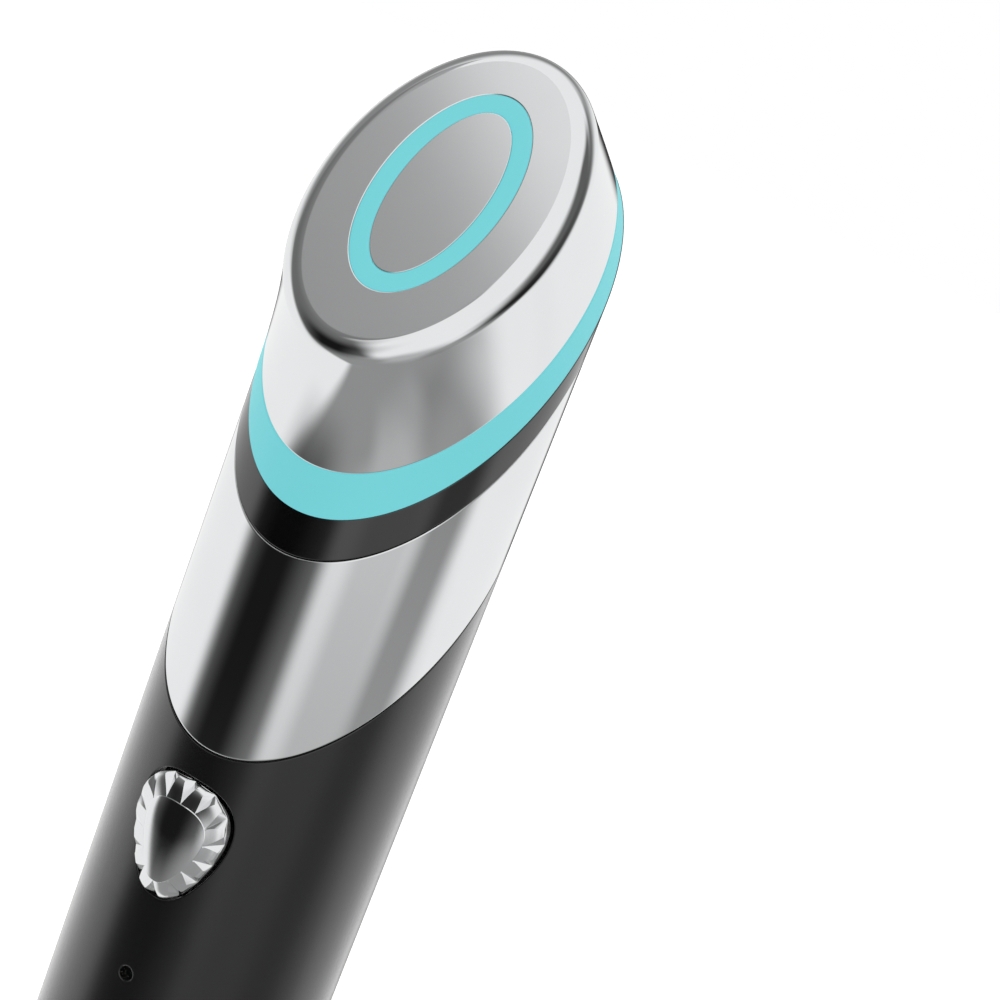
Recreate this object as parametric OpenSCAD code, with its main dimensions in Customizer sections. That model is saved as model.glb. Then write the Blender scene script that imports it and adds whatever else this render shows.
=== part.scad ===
// Microcurrent facial wand: a tapered tube that stands on its base and carries a slanted electrode head.
// +Z is up along the tube. The face, the button and the slanted cuts look to the front, -Y.
// The origin is the centre of the standing face. All sizes are in millimetres.

/* [Tube] */
// Height of the light ring's lower edge above the standing face, measured on the axis
body_h = 149.4; // [148:0.2:160]
// Outer diameter at the light ring's lower edge
top_d = 30; // [29.6:0.1:31]
// Outer diameter at the standing face
base_d = 27.9; // [27.7:0.1:29]
// Bore of the tube, the sleeve and the band
bore_d = 25.4; // [25.2:0.1:25.7]
// Radius of the rounded bottom edge
foot_r = 2.2; // [1.6:0.1:2.3]
// Height of the lip that holds the base cap
lip_h = 4; // [3.6:0.1:4.6]

/* [Flutes] */
// Number of flutes round the foot
flute_count = 36; // [30:1:40]
// Height at which the flutes fade out
flute_h = 32; // [24:1:40]
// Depth of a flute at the standing face
flute_depth = 0.16; // [0.1:0.02:0.24]

/* [Slanted rings] */
// Tilt of the slanted cuts from the horizontal, in degrees
cut_tilt = 52; // [48:0.5:53]
// Height of the chrome sleeve along the axis
sleeve_h = 22.4; // [20:0.2:24]
// Height of the black band along the axis
band_h = 4.6; // [3.8:0.1:6]
// Thickness of the light ring, square to the cut
ring_t = 3.4; // [3:0.1:3.8]
// Dark seam between neighbouring rings
seam = 0.1; // [0.05:0.05:0.2]

/* [Head] */
// Height of the face over the cut, square to the cut
head_h = 15.1; // [14.7:0.1:16]
// Width of the head where its sides would meet the face
face_w = 25.5; // [25.2:0.1:26.8]
// Length of the head where its ends would meet the face
face_l = 36.9; // [36.4:0.1:38.6]
// Shift of the face's centre up the slope
face_shift = 5.2; // [5:0.1:5.6]
// How deep the front edge of the head is hollowed, halfway up
front_hollow = 1.5; // [1:0.1:1.8]
// Radius of the rounded edge of the face
face_edge_r = 2.4; // [1.8:0.1:2.5]
// Wall of the head shell
shell_wall = 1.25; // [1.05:0.05:1.35]
// Width of the oval light guide
oval_w = 13.3; // [12.9:0.1:13.6]
// Length of the oval light guide
oval_l = 23.9; // [23.4:0.1:24.4]
// Width of the lit band of the oval
oval_band = 2; // [1.6:0.1:2.3]

/* [Button and windows] */
// Width of the gem button
button_w = 10; // [9.6:0.1:10.9]
// Height of the gem button
button_h = 12.7; // [12:0.1:14]
// Distance from the sleeve's lower edge down to the button's centre, measured on the axis
button_drop = 28.8; // [28.2:0.1:30]
// Gap between the button and its aperture
button_gap = 0.35; // [0.3:0.05:0.45]
// How far the gem's centre stands out of its rim
button_rise = 1.7; // [1.3:0.1:2]
// Travel of the button
button_travel = 0.6; // [0.4:0.05:0.7]
// Number of lobes on the gem's border
button_lobes = 14; // [12:1:16]
// Diameter of the status hole
led_d = 1.6; // [1.4:0.1:2]
// Distance from the button's centre down to the status hole
led_drop = 16.1; // [14:0.1:18]
// Diameter of a level window
level_d = 1.2; // [1:0.1:1.4]
// Spacing of the level windows
level_pitch = 2.2; // [1.9:0.1:2.6]
// Height of the middle level window above the standing face
level_z = 44.3; // [43:0.1:46]

/* [Inside] */
// Diameter of the battery cell
cell_d = 14; // [13.6:0.1:14.2]
// Length of the battery cell
cell_h = 50; // [48:0.5:50.5]
// Width of the main board
board_w = 18; // [17:0.5:18.6]
// Distance of the main board's front face from the axis
board_front = 6.2; // [6.1:0.1:6.3]
// Thickness of the circuit boards
board_t = 1.2; // [1:0.1:1.2]
// Wall of the neck core
neck_wall = 1.4; // [1.2:0.1:1.5]
// Width of the charging socket's shell
usb_w = 8.94; // [8.8:0.02:9.1]
// Thickness of the charging socket's shell
usb_t = 3.26; // [3.1:0.02:3.4]

/* [Hidden] */

$fn = 48;
FAR = 200;
fit = 0.1;
slip = 0.05;

top_r = top_d / 2;
base_r = base_d / 2;
bore_r = bore_d / 2;
taper = (top_r - base_r) / body_h;
function body_r(z) = base_r + taper * z;

// Sleeve and band limits, as heights on the axis
band_z = body_h - band_h;
sleeve_z = band_z - sleeve_h;

// Heights of what lies on the front, from the sleeve's edge downwards
button_z = sleeve_z - button_drop;
led_z = button_z - led_drop;
contact_over = 15;
contact_z = button_z + contact_over;

// Neck core and chassis radii
core_r = bore_r - fit;
core_in = core_r - neck_wall;
chassis_r = bore_r - 0.4;
chassis_in = chassis_r - 1.1;

// Stack inside the head, square to the cut
face_under = head_h - shell_wall;
flange_t = 1.5;
flange_low = face_under - flange_t;
reflector_t = 1.8;
face_board_top = flange_low - reflector_t;
face_board_t = 1;
face_board_low = face_board_top - face_board_t;
bulkhead_t = 2;
oval_a = oval_w / 2;
oval_b = oval_l / 2;
plate_a = oval_a - oval_band;
plate_b = oval_b - oval_band;
flange_step = 0.75;
face_board_a = oval_a + 0.65;
face_board_b = oval_b + 3.05;
riser_a = face_board_a - 0.1;
riser_b = oval_b + 0.95;
riser_wall = 1.4;
ring_hole_a = 11.4;
ring_hole_b = 17.8;
ring_hole_v = 2.4;
ring_board_t = 1;
ring_source_r = 0.45;
ring_source_h = 0.6;
face_source_r = 0.6;
face_source_h = 0.7;
centre_contact_r = 0.8;
shell_contact_r = 0.6;

// Screws of the head: two at the sides and one in front, as places in the cut's plane
head_screw_at = [[9.3, 0], [-9.3, 0], [0, -11.9]];
boss_r = 1.8;
ring_lead_x = 1.5;
ring_lead_v = -9.7;
ring_lead_r = 0.4;
contact_r = 0.7;
contact_base_r = 1.1;
contact_base_h = 3.5;

// Screws: shank, head, slot, and the holes that they cut or pass
screw_r = 0.75;
screw_hole_r = 0.8;
screw_pass_r = 1;
screw_head_r = 1.5;
screw_head_t = 1;
slot_t = 0.3;
slot_depth = 0.4;
head_screw_len = 7.5;
chassis_screw_len = 5.4;
board_screw_len = 4.6;
neck_screw_len = 5;
neck_screw_head_r = 1.7;
neck_screw_head_t = 0.8;
base_screw_len = 14;
base_screw_r = 0.8;
base_screw_head_r = 1.75;
base_screw_head_t = 1.2;
screw_boss_r = 2.2;

// Button: distances from the axis, towards the front
rim_out = body_r(button_z) - 0.1;
flange_out = 10.8;
button_flange_t = 0.8;
flange_rear = flange_out - button_flange_t;
nub_t = 0.25;
plunger_tip = flange_rear - nub_t - slip;
switch_front = board_front + 2.5;
plunger_r = 1.65;
dome_t = 0.12;
dome_low = board_front + 0.8;
plunger_len = plunger_tip - dome_low - dome_t - button_travel - 0.18;
switch_side = 6;
button_flange = 0.75;

// Base
flange_h = 1.3;
cap_flange_r = base_r - foot_r - 0.45;
cap_r = cap_flange_r - 0.5;
cap_floor = 1.8;
cap_top = 5;
usb_y = 5;
usb_depth = 7.3;
usb_recess = 0.15;
usb_wall = 0.3;
base_screw_at = [[7.5, -3], [-7.5, -3]];
base_screw_sink = 0.45;
base_post_r = 2.1;
base_post_h = 10;
seal_r = 0.45;
seal_z = 2.8;

// Battery
cell_y = 3.7;
cell_z = 25;
cell_r = cell_d / 2;
end_gap = 1.4;
end_wall = 1.2;
pad_t = 0.4;
pad_w = 8;
tab_gap = 0.05;
cell_tab_t = 0.2;
cell_tab_w = 6;
rear_under = 7.5;
rear_over = 9;
rear_low = cell_z - rear_under;
rear_top = cell_z + cell_h + rear_over;
pillar_x = 8.3;
pillar_r = 1.9;
pillar_low_in = 0.2;
pillar_high_in = 1.5;
pillar_low_z = rear_low + pillar_r + pillar_low_in;
pillar_high_z = rear_top - pillar_r - pillar_high_in;
pillar_at = [for (z = [pillar_low_z, pillar_high_z]) for (x = [pillar_x, -pillar_x]) [x, z]];
neck_gap = 8;
web_step = 2;
neck_low = rear_top + neck_gap;
web_low_top = neck_low - web_step;

// Main board and chassis
board_under = 8.3;
board_over = 2.4;
board_low = level_z - board_under;
board_top = contact_z + board_over;
web_front = board_front - board_t - 0.4;
web_t = 0.8;
web_rear = web_front - web_t;
disc_z = base_post_h;
disc_t = 2;
web_low_half = sqrt(pow(chassis_r, 2) - pow(web_front, 2)) - 0.1;
web_high_half = sqrt(pow(core_in - 0.2, 2) - pow(web_front, 2)) - 0.1;
neck_screw_over = 4.5;
neck_screw_room = 2.5;
neck_notch_over = 9.4;
neck_notch_w = 16;
neck_screw_z = board_top + neck_screw_over;
neck_notch_top = button_z + neck_notch_over;
web_top = neck_screw_z + neck_screw_room;
pillar_top = 2;
tab_t = 1.5;
ledge_t = 3;
hook_w = 5;
hook_t = 0.75;
hook_h = 2.1;
neck_boss_gap = 0.35;
chassis_lip = 2.7;
board_screw_over = 7.5;
ring_source_count = 10;
ring_source_in = 1;
nub_r = 2;
ledge_z = [board_low + 3, (board_low + board_top) / 2 - ledge_t, board_top - 11];
board_screw_x = 7;
board_screw_z = led_z + board_screw_over;

// Charging board and leads
charge_y = usb_y + usb_t / 2 + slip;
charge_t = 1;
charge_w = 11;
charge_top = 19;
lead_r = 0.45;
lead_x = 5;
lead_drop = 0.8;
lead_y = -web_front - 1;
charge_x = 3.2;
charge_lead_z = rear_low;
lead_hole_r = 0.8;

// Chips on the main board: x, height, width, length, thickness
chips = [[-0.5, led_z - 11.5, 6, 7, 1], [5, led_z - 20.5, 4, 4, 0.9], [-3.6, led_z - 20.5, 5, 5, 2.5],
    [4.9, level_z + 6.7, 4.4, 3, 2.2], [0, contact_z - 6.6, 5, 4, 1]];

// A point on the egg-shaped outline of the button, widened by the given margin
function egg(t, grow) = [
    (button_w / 2 / 1.05 + grow) * sign(sin(t)) * pow(abs(sin(t)), 0.75) * (1 + 0.3 * cos(t)),
    (button_h / 2 + grow) * cos(t)];
function egg_outline(n, grow) = [for (i = [0 : n - 1]) egg(360 * i / n, grow)];
function ellipse_outline(a, b, n = 72) = [for (i = [0 : n - 1]) [a * cos(360 * i / n), b * sin(360 * i / n)]];

// Puts children in the frame of the slanted cut: x across, y up the slope, z square to the cut
module at_cut() {
    translate([0, 0, body_h]) rotate([cut_tilt, 0, 0]) children();
}

// Puts children on the front: x across, y up, z outwards from the axis
module at_front(z) {
    translate([0, 0, z]) rotate([90, 0, 0]) children();
}

// Everything below the slanted plane that crosses the axis at height z
module below_cut(z) {
    translate([0, 0, z]) rotate([cut_tilt, 0, 0])
        translate([-FAR, -FAR, -2 * FAR]) cube([2 * FAR, 2 * FAR, 2 * FAR]);
}

// The tapered outer body between two slanted planes, given as heights on the axis
module slanted_slice(low, high) {
    difference() {
        intersection() {
            cylinder(r1 = base_r, r2 = body_r(FAR), h = FAR, $fn = 96);
            below_cut(high);
        }
        below_cut(low);
        translate([0, 0, -1]) cylinder(r = bore_r, h = FAR + 2, $fn = 96);
    }
}

module oval(a, b, low, high, v = face_shift) {
    translate([0, v, low]) linear_extrude(high - low) polygon(ellipse_outline(a, b));
}

module egg_prism(grow, low, high) {
    translate([0, 0, low]) linear_extrude(high - low) polygon(egg_outline(84, grow));
}

// A slot shape with round ends, flat on z
module stadium(w, t, low, high) {
    translate([0, 0, low]) linear_extrude(high - low) union() {
        translate([-(w - t) / 2, -t / 2]) square([w - t, t]);
        translate([-(w - t) / 2, 0]) circle(d = t);
        translate([(w - t) / 2, 0]) circle(d = t);
    }
}

// A straight rod between two points
module rod(p, q, r) {
    d = q - p;
    translate(p) rotate([0, acos(d[2] / norm(d)), atan2(d[1], d[0])]) cylinder(r = r, h = norm(d), $fn = 24);
}

// A wire along its points, with round corners
module wire(points, r) {
    for (i = [1 : len(points) - 1]) rod(points[i - 1], points[i], r);
    for (i = [1 : len(points) - 2]) translate(points[i]) sphere(r = r, $fn = 24);
}

// The head's surface, by its height over the cut. The sides and the back lean in straight, the front edge is
// hollowed, and a ball that rolls inside the corner with the face rounds them off.
edge_h = head_h - face_edge_r;
cut_l = top_r / cos(cut_tilt);
corner_back = cut_l - face_shift - face_l / 2;
corner_front = cut_l + face_shift - face_l / 2;
lean_side = atan((top_r - face_w / 2) / head_h);
lean_back = atan(corner_back / head_h);
// Share of the height at which the rounding touches the front edge
touch_front = 0.9;
lean_front = atan((corner_front - 4 * front_hollow * (2 * touch_front - 1)) / head_h);
function front_at(f) = cut_l - corner_front * f - front_hollow * 4 * f * (1 - f);
function touch_h(lean) = edge_h + face_edge_r * sin(lean);
function ball_at(corner, lean) = corner + face_edge_r * (sin(lean) - 1) / cos(lean);
ball_front = front_at(touch_h(lean_front) / head_h) - face_edge_r * cos(lean_front);
function rounded(straight, ball, lean, h) = h < touch_h(lean) ? straight
    : ball + sqrt(max(0, pow(face_edge_r, 2) - pow(h - edge_h, 2)));

// One row of the head's surface: half width, half length, shift up the slope and height over the cut
function side_row(h, inset) = let (f = h / head_h,
    side = rounded(top_r + (face_w / 2 - top_r) * f, ball_at(face_w / 2, lean_side), lean_side, h),
    back = rounded(cut_l - corner_back * f, ball_at(cut_l - corner_back, lean_back), lean_back, h),
    ahead = rounded(front_at(f), ball_front, lean_front, h))
    [side - inset, (back + ahead) / 2 - inset, (back - ahead) / 2, h];
function row_points(row, n) = [for (i = [0 : n - 1])
    [row[0] * cos(360 * i / n), row[2] + row[1] * sin(360 * i / n), row[3]]];

// A closed solid through rows of points, lowest row first
module loft(rows, n) {
    points = [for (row = rows) each row];
    last = (len(rows) - 1) * n;
    sides = [for (k = [0 : len(rows) - 2]) for (i = [0 : n - 1]) for (half = [0, 1])
        let (a = k * n + i, b = k * n + (i + 1) % n)
        half == 0 ? [a, a + n, b] : [b, a + n, b + n]];
    floor_face = [[for (i = [0 : n - 1]) i]];
    roof_face = [[for (i = [0 : n - 1]) last + n - 1 - i]];
    polyhedron(points, concat(sides, floor_face, roof_face), convexity = 4);
}

// The solid outer form of the tube: a taper on a rounded bottom edge
module tube_blank() {
    steps = 9;
    rotate_extrude($fn = 96) polygon(concat([[0, 0]],
        [for (k = [0 : steps]) [body_r(foot_r) - foot_r * (1 - sin(90 * k / steps)),
            foot_r * (1 - cos(90 * k / steps))]],
        [[body_r(FAR), FAR], [0, FAR]]));
}

// Flute outline: four chords to a flute, shallow scoops that end where the widening prism leaves the taper
function flute_row(z) = let (n = 4 * flute_count,
    grow = 1 + (body_r(flute_h) / (base_r - flute_depth) - 1) * z / flute_h) [for (i = [0 : n - 1])
        let (a = 360 * (i - 2) / n - 90, u = (i % 4) / 2 - 1, r = (base_r - flute_depth * (1 - u * u)) * grow)
        [r * cos(a), r * sin(a), z]];

module body_tube() {
    color([0.09, 0.09, 0.1]) difference() {
        intersection() {
            tube_blank();
            below_cut(sleeve_z - seam);
        }
        difference() {
            translate([0, 0, -1]) cylinder(r = top_r + 2, h = flute_h + 3);
            loft([flute_row(-2), flute_row(flute_h + 4)], 4 * flute_count);
        }
        translate([0, 0, lip_h]) cylinder(r = bore_r, h = FAR, $fn = 96);
        translate([0, 0, -1]) cylinder(r = cap_r + fit, h = lip_h + 2, $fn = 96);
        translate([0, 0, -1]) cylinder(r = cap_flange_r + fit, h = flange_h + 1, $fn = 96);
        at_front(button_z) egg_prism(button_gap, 8, FAR / 4);
        at_front(led_z) cylinder(d = led_d, h = FAR / 4, $fn = 32);
        for (k = [-1, 0, 1]) at_front(level_z + k * level_pitch) cylinder(d = level_d, h = FAR / 4, $fn = 32);
    }
}

module base_cap() {
    color([0.13, 0.13, 0.14]) difference() {
        union() {
            cylinder(r = cap_flange_r, h = flange_h - slip, $fn = 96);
            difference() {
                cylinder(r = cap_r, h = cap_top, $fn = 96);
                translate([0, 0, cap_floor]) cylinder(r = cap_r - 2, h = cap_top, $fn = 96);
            }
            translate([-usb_w / 2 - 1.4, usb_y - usb_t / 2 - 1, 0])
                cube([usb_w + 2.8, usb_t + 2.6, cap_top]);
            for (p = base_screw_at) translate([p[0], p[1], 0]) cylinder(r = base_post_r, h = base_post_h);
        }
        translate([0, usb_y, 0]) stadium(usb_w + 2 * fit, usb_t + 2 * fit, -1, cap_top + 1);
        for (p = base_screw_at) translate([p[0], p[1], 0]) {
            translate([0, 0, -1]) cylinder(r = screw_pass_r, h = FAR);
            translate([0, 0, -1]) cylinder(r = base_screw_head_r + fit,
                h = 1 + base_screw_sink + base_screw_head_t + slip);
        }
        rotate_extrude($fn = 96) translate([cap_r - 2 * seal_r, seal_z - seal_r - slip])
            square([2, 2 * seal_r + 2 * slip]);
    }
}

module base_seal() {
    color([0.06, 0.06, 0.06]) rotate_extrude($fn = 96)
        translate([cap_r - seal_r + fit / 2, seal_z]) circle(r = seal_r, $fn = 24);
}

// A screw that points up: head below, shank above
module screw(length, shank_r = screw_r, head_r = screw_head_r, head_t = screw_head_t) {
    difference() {
        union() {
            cylinder(r = head_r, h = head_t, $fn = 32);
            cylinder(r = shank_r, h = head_t + length, $fn = 32);
        }
        for (turn = [0, 90]) rotate([0, 0, turn])
            translate([-head_r * 0.6, -slot_t / 2, -1]) cube([head_r * 1.2, slot_t, 1 + slot_depth]);
    }
}

module base_screws() {
    color([0.7, 0.7, 0.72]) for (p = base_screw_at)
        translate([p[0], p[1], base_screw_sink])
            screw(base_screw_len, base_screw_r, base_screw_head_r, base_screw_head_t);
}

module usb_socket() {
    color([0.75, 0.75, 0.77]) translate([0, usb_y, 0]) difference() {
        stadium(usb_w, usb_t, usb_recess, usb_recess + usb_depth);
        stadium(usb_w - 2 * usb_wall, usb_t - 2 * usb_wall, -1, FAR);
    }
}

module usb_tongue() {
    color([0.08, 0.08, 0.09]) translate([0, usb_y, 0]) union() {
        translate([-3.35, -0.35, usb_recess + 0.9]) cube([6.7, 0.7, usb_depth - 2]);
        stadium(usb_w - 2 * usb_wall - 0.04, usb_t - 2 * usb_wall - 0.04, usb_recess + usb_depth - 1.3,
            usb_recess + usb_depth);
    }
}

module charge_board() {
    color([0.05, 0.3, 0.16]) translate([-charge_w / 2, charge_y, cap_top])
        cube([charge_w, charge_t, charge_top - cap_top]);
}

module chassis_front() {
    color([0.2, 0.2, 0.22]) difference() {
        union() {
            translate([0, 0, disc_z]) cylinder(r = chassis_r, h = disc_t, $fn = 96);
            translate([-web_low_half, -web_front, disc_z])
                cube([2 * web_low_half, web_t, web_low_top - disc_z]);
            translate([-web_high_half, -web_front, disc_z])
                cube([2 * web_high_half, web_t, web_top - disc_z]);
            // Side cheeks that follow the bore
            intersection() {
                difference() {
                    translate([0, 0, disc_z]) cylinder(r = chassis_r, h = rear_top - disc_z, $fn = 96);
                    cylinder(r = chassis_in, h = FAR, $fn = 96);
                }
                translate([-FAR, -board_front - 2 * slip - chassis_lip, disc_z])
                    cube([2 * FAR, board_front + 2 * slip + chassis_lip - web_rear, FAR]);
            }
            // Ledges that carry the main board
            for (z = ledge_z) translate([-board_w / 2 + 1, -board_front + board_t, z])
                cube([board_w - 2, board_front - board_t - web_rear, ledge_t]);
            // Hook under the board's lower end
            translate([-hook_w / 2, -board_front - hook_t - slip, board_low - hook_h - fit]) {
                cube([hook_w, board_front + hook_t + slip - web_rear, hook_h]);
                cube([hook_w, hook_t, hook_h + fit + 1.2]);
            }
            for (p = base_screw_at) translate([p[0], p[1], disc_z]) cylinder(r = screw_boss_r, h = 6);
            for (p = pillar_at) at_front(p[1]) translate([p[0], 0, -pillar_top])
                cylinder(r = pillar_r, h = pillar_top + web_front - 0.1);
            for (x = [-board_screw_x, board_screw_x]) at_front(board_screw_z) translate([x, 0, 1])
                cylinder(r = pillar_r - 0.1, h = web_front - 1.1);
            // Bosses for the two neck screws
            at_front(neck_screw_z) translate([0, 0, neck_boss_gap - core_in])
                cylinder(r = screw_boss_r, h = 2 * (core_in - neck_boss_gap));
        }
        // Room for the main board between the side walls
        translate([-board_w / 2 - fit, -board_front - slip, board_low])
            cube([board_w + 2 * fit, board_t + slip, board_top - board_low]);
        translate([-charge_w / 2 - fit, charge_y - fit, 0])
            cube([charge_w + 2 * fit, charge_t + 2 * fit, disc_z + disc_t + 1]);
        translate([0, usb_y, 0]) stadium(usb_w + 1, usb_t + 1, disc_z - 1, disc_z + disc_t + 1);
        for (p = base_screw_at) translate([p[0], p[1], 0])
            cylinder(r = base_screw_r + slip, h = disc_z + 8, $fn = 32);
        for (p = pillar_at) at_front(p[1]) translate([p[0], 0, -pillar_top - 1])
            cylinder(r = screw_hole_r, h = pillar_top + 1 + web_rear, $fn = 32);
        for (x = [-board_screw_x, board_screw_x]) at_front(board_screw_z) translate([x, 0, 1.6])
            cylinder(r = screw_hole_r, h = FAR, $fn = 32);
        at_front(neck_screw_z) for (s = [-1, 1]) facing(s) translate([0, 0, core_in - 6])
            cylinder(r = screw_hole_r, h = 10, $fn = 32);
        for (p = [[-charge_x, charge_lead_z], [charge_x, charge_lead_z], [lead_x, cell_z - lead_drop],
                [-lead_x, cell_z + cell_h + lead_drop]])
            at_front(p[1]) translate([p[0], 0, 0]) cylinder(r = lead_hole_r, h = web_front + 1, $fn = 24);
    }
}

// The same thing on the front (1) or turned to the rear (-1)
module facing(s) {
    rotate([s > 0 ? 0 : 180, 0, 0]) children();
}

module chassis_rear() {
    cell_top = cell_z + cell_h;
    color([0.24, 0.24, 0.26]) difference() {
        union() {
            intersection() {
                union() {
                    difference() {
                        translate([0, 0, rear_low])
                            cylinder(r = chassis_r, h = rear_top - rear_low, $fn = 96);
                        cylinder(r = chassis_in, h = FAR, $fn = 96);
                    }
                    translate([0, 0, cell_z - end_gap - end_wall])
                        cylinder(r = chassis_in + 0.1, h = end_wall);
                    translate([0, 0, cell_top + end_gap]) cylinder(r = chassis_in + 0.1, h = end_wall);
                }
                translate([-FAR, -web_rear + fit, 0]) cube([2 * FAR, FAR, FAR]);
            }
            // Ears that the chassis screws hold down
            for (p = pillar_at) intersection() {
                translate([p[0] > 0 ? p[0] - pillar_r : -FAR, pillar_top + slip, p[1] - pillar_r])
                    cube([FAR - abs(p[0]) + pillar_r, tab_t, 2 * pillar_r]);
                cylinder(r = chassis_in + 0.1, h = FAR, $fn = 96);
            }
        }
        for (p = pillar_at) at_front(p[1]) translate([p[0], 0, -FAR])
            cylinder(r = screw_pass_r - slip, h = FAR - 1, $fn = 32);
        // Room for the driver over each screw
        for (p = pillar_at) at_front(p[1]) translate([p[0], 0, -FAR])
            cylinder(r = screw_head_r + 0.2, h = FAR - pillar_top - tab_t - slip, $fn = 32);
    }
}

module chassis_screws() {
    color([0.7, 0.7, 0.72]) for (p = pillar_at)
        translate([p[0], pillar_top + tab_t + screw_head_t + 2 * slip, p[1]]) rotate([90, 0, 0])
            screw(chassis_screw_len);
}

module battery_cell() {
    color([0.2, 0.45, 0.7]) translate([0, cell_y, cell_z]) cylinder(r = cell_r, h = cell_h, $fn = 64);
}

module battery_tabs() {
    color([0.8, 0.8, 0.78]) for (z = [cell_z - tab_gap - cell_tab_t, cell_z + cell_h + tab_gap])
        translate([-lead_x - lead_r, cell_y - 4, z]) cube([2 * (lead_x + lead_r), cell_tab_w, cell_tab_t]);
}

module battery_pads() {
    color([0.15, 0.15, 0.15]) {
        translate([-pad_w / 2, cell_y - cell_r - slip - pad_t, cell_z + 4]) cube([pad_w, pad_t, cell_h - 8]);
        intersection() {
            translate([-pad_w / 4, cell_y + cell_r + slip, cell_z + 4]) cube([pad_w / 2, pad_w, cell_h - 8]);
            cylinder(r = chassis_in - slip, h = FAR, $fn = 96);
        }
    }
}

module battery_leads() {
    low = cell_z - lead_drop;
    high = cell_z + cell_h + lead_drop;
    color([0.75, 0.1, 0.08])
        wire([[lead_x, 2, low], [lead_x, lead_y, low], [lead_x, lead_y, board_low - slip]], lead_r);
    color([0.1, 0.1, 0.1]) wire([[-lead_x, 2, high], [-lead_x, -board_front + board_t + slip, high]], lead_r);
}

module charge_leads() {
    color([0.8, 0.6, 0.1]) for (x = [-charge_x, charge_x]) wire([[x, charge_y - slip, charge_lead_z],
        [x, lead_y, charge_lead_z], [x, lead_y, board_low - slip]], lead_r);
}

module main_board() {
    color([0.03, 0.22, 0.12]) difference() {
        translate([-board_w / 2, -board_front, board_low]) cube([board_w, board_t, board_top - board_low]);
        for (x = [-board_screw_x, board_screw_x]) at_front(board_screw_z) translate([x, 0, 0])
            cylinder(r = screw_pass_r - slip, h = FAR, $fn = 32);
    }
}

module board_parts() {
    color([0.1, 0.1, 0.1]) for (c = chips)
        translate([c[0] - c[2] / 2, -board_front - c[4], c[1] - c[3] / 2]) cube([c[2], c[4], c[3]]);
}

module board_screws() {
    color([0.7, 0.7, 0.72]) for (x = [-board_screw_x, board_screw_x])
        translate([x, -board_front - screw_head_t, board_screw_z]) rotate([-90, 0, 0]) screw(board_screw_len);
}

// A small light source that shines outwards along z
module source(w = 1.6, d = 0.9, t = 0.7) {
    translate([-w / 2, -d / 2, 0]) cube([w, d, t]);
}

module status_source() {
    color([0.95, 0.9, 0.6]) at_front(led_z) translate([0, 0, board_front]) source();
}

module level_sources() {
    color([0.95, 0.9, 0.6]) for (k = [-1, 0, 1])
        at_front(level_z + k * level_pitch) translate([0, 0, board_front]) source();
}

module status_lens() {
    tip = body_r(led_z) - 0.15;
    color([0.25, 0.28, 0.3]) at_front(led_z) union() {
        translate([0, 0, board_front + 0.9])
            cylinder(d = led_d - 2 * slip, h = tip - board_front - 0.9, $fn = 32);
        translate([0, 0, bore_r - 1.4]) cylinder(d = led_d + 1, h = 1.2, $fn = 32);
    }
}

module level_light_pipe() {
    color([0.85, 0.9, 0.92]) union() {
        for (k = [-1, 0, 1]) at_front(level_z + k * level_pitch) translate([0, 0, board_front + 0.9])
            cylinder(d = level_d - 2 * slip, h = body_r(level_z) - board_front - 1, $fn = 32);
        translate([-level_d, -bore_r + 0.3, level_z - level_pitch - 1.6])
            cube([2 * level_d, 1.2, 2 * level_pitch + 3.2]);
    }
}

module switch_body() {
    color([0.12, 0.12, 0.13]) at_front(button_z) difference() {
        translate([-switch_side / 2, -switch_side / 2, board_front])
            cube([switch_side, switch_side, switch_front - board_front]);
        translate([0, 0, dome_low]) cylinder(r = plunger_r + 0.1, h = FAR, $fn = 48);
    }
}

module switch_dome() {
    color([0.8, 0.8, 0.78]) at_front(button_z) translate([0, 0, dome_low])
        cylinder(r = plunger_r, h = dome_t, $fn = 48);
}

module switch_plunger() {
    color([0.25, 0.22, 0.2]) at_front(button_z) translate([0, 0, plunger_tip - plunger_len])
        cylinder(r = plunger_r, h = plunger_len, $fn = 48);
}

guide_low = switch_front + 0.3;
guide_high = flange_rear + 0.2;
module button_guide() {
    side = button_flange + 1.05;
    color([0.16, 0.16, 0.17]) at_front(button_z) union() {
        difference() {
            egg_prism(side, guide_low, guide_high);
            egg_prism(button_flange + 0.2, guide_low - 1, guide_high + 1);
        }
        // Four legs that stand on the main board
        for (x = [-1, 1]) for (y = [-1, 1])
            translate([x * (y > 0 ? 4.9 : 3.5), y * button_h / 2 - y * (y > 0 ? 1.6 : 1.4), board_front])
                cylinder(r = 0.6, h = guide_low - board_front + 0.3, $fn = 24);
        for (x = [-1, 1]) for (y = [-1, 1]) hull_leg(x, y, side);
    }
}

// The bridge from a leg out to the frame
module hull_leg(x, y, side) {
    ya = y > 0 ? button_h / 2 - 1.6 : -button_h / 2 + 1.4;
    xa = x * (y > 0 ? 4.9 : 3.5);
    intersection() {
        translate([xa - 0.6 + (x > 0 ? 0 : -2.4), ya - 0.6, guide_low]) cube([3.6, 1.2, 0.4]);
        egg_prism(side, guide_low, guide_high);
    }
}

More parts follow.
